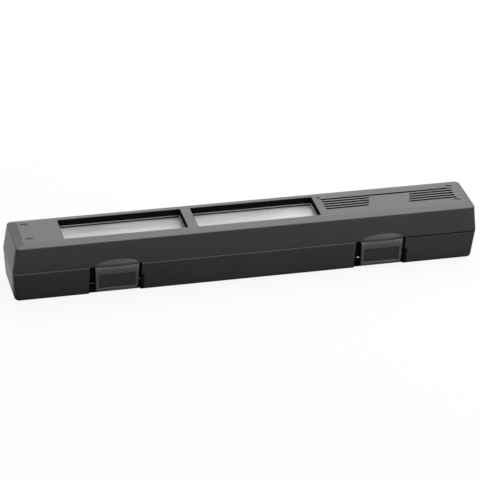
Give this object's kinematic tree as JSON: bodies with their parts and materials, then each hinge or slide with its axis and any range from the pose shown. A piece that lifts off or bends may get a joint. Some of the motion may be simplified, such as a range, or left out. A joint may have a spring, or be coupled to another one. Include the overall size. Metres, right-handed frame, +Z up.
{
  "type": "tool case",
  "caption": "Long, narrow hard case for a torque wrench: hinged lid with recessed clear windows and a grooved panel, snap latches on the front, foam-lined base.",
  "frame": {"origin": "middle of the underside, where the closed case stands", "axes": "+X along the case towards the grooved end, +Y from the latches to the hinges, +Z up"},
  "size_m": [0.56, 0.0736, 0.072],
  "materials": {
    "shell": "fine-grained black moulding",
    "latch": "fine-grained black moulding",
    "window": "cloudy clear plastic, glossy",
    "steel": "plain drawn wire",
    "dark_steel": "blackened wire",
    "foam": "black closed-cell foam"
  },
  "bodies": {
    "base": {"base_shell": "shell", "handle_end_foam": "foam", "handle_foam": "foam", "shaft_foam": "foam", "head_foam": "foam", "left_latch_pin": "dark_steel", "right_latch_pin": "dark_steel", "left_hinge_pin": "steel", "middle_hinge_pin": "steel", "right_hinge_pin": "steel"},
    "lid": {"lid_shell": "shell", "left_window": "window", "right_window": "window", "window_screws": "steel", "lid_pad_left": "foam", "lid_pad_right": "foam"},
    "left_latch": {"left_latch": "latch"},
    "right_latch": {"right_latch": "latch"}
  },
  "joints": [
    {"name": "lid_hinge", "type": "hinge", "parent": "base", "child": "lid", "pos_m": [0, 0.034, 0.0375], "axis": [-1, 0, 0], "range_deg": [0, 130]},
    {"name": "left_latch_pivot", "type": "hinge", "parent": "base", "child": "left_latch", "pos_m": [-0.1584, -0.031, 0.0147], "axis": [1, 0, 0], "range_deg": [0, 20]},
    {"name": "right_latch_pivot", "type": "hinge", "parent": "base", "child": "right_latch", "pos_m": [0.1616, -0.031, 0.0147], "axis": [1, 0, 0], "range_deg": [0, 20]}
  ]
}
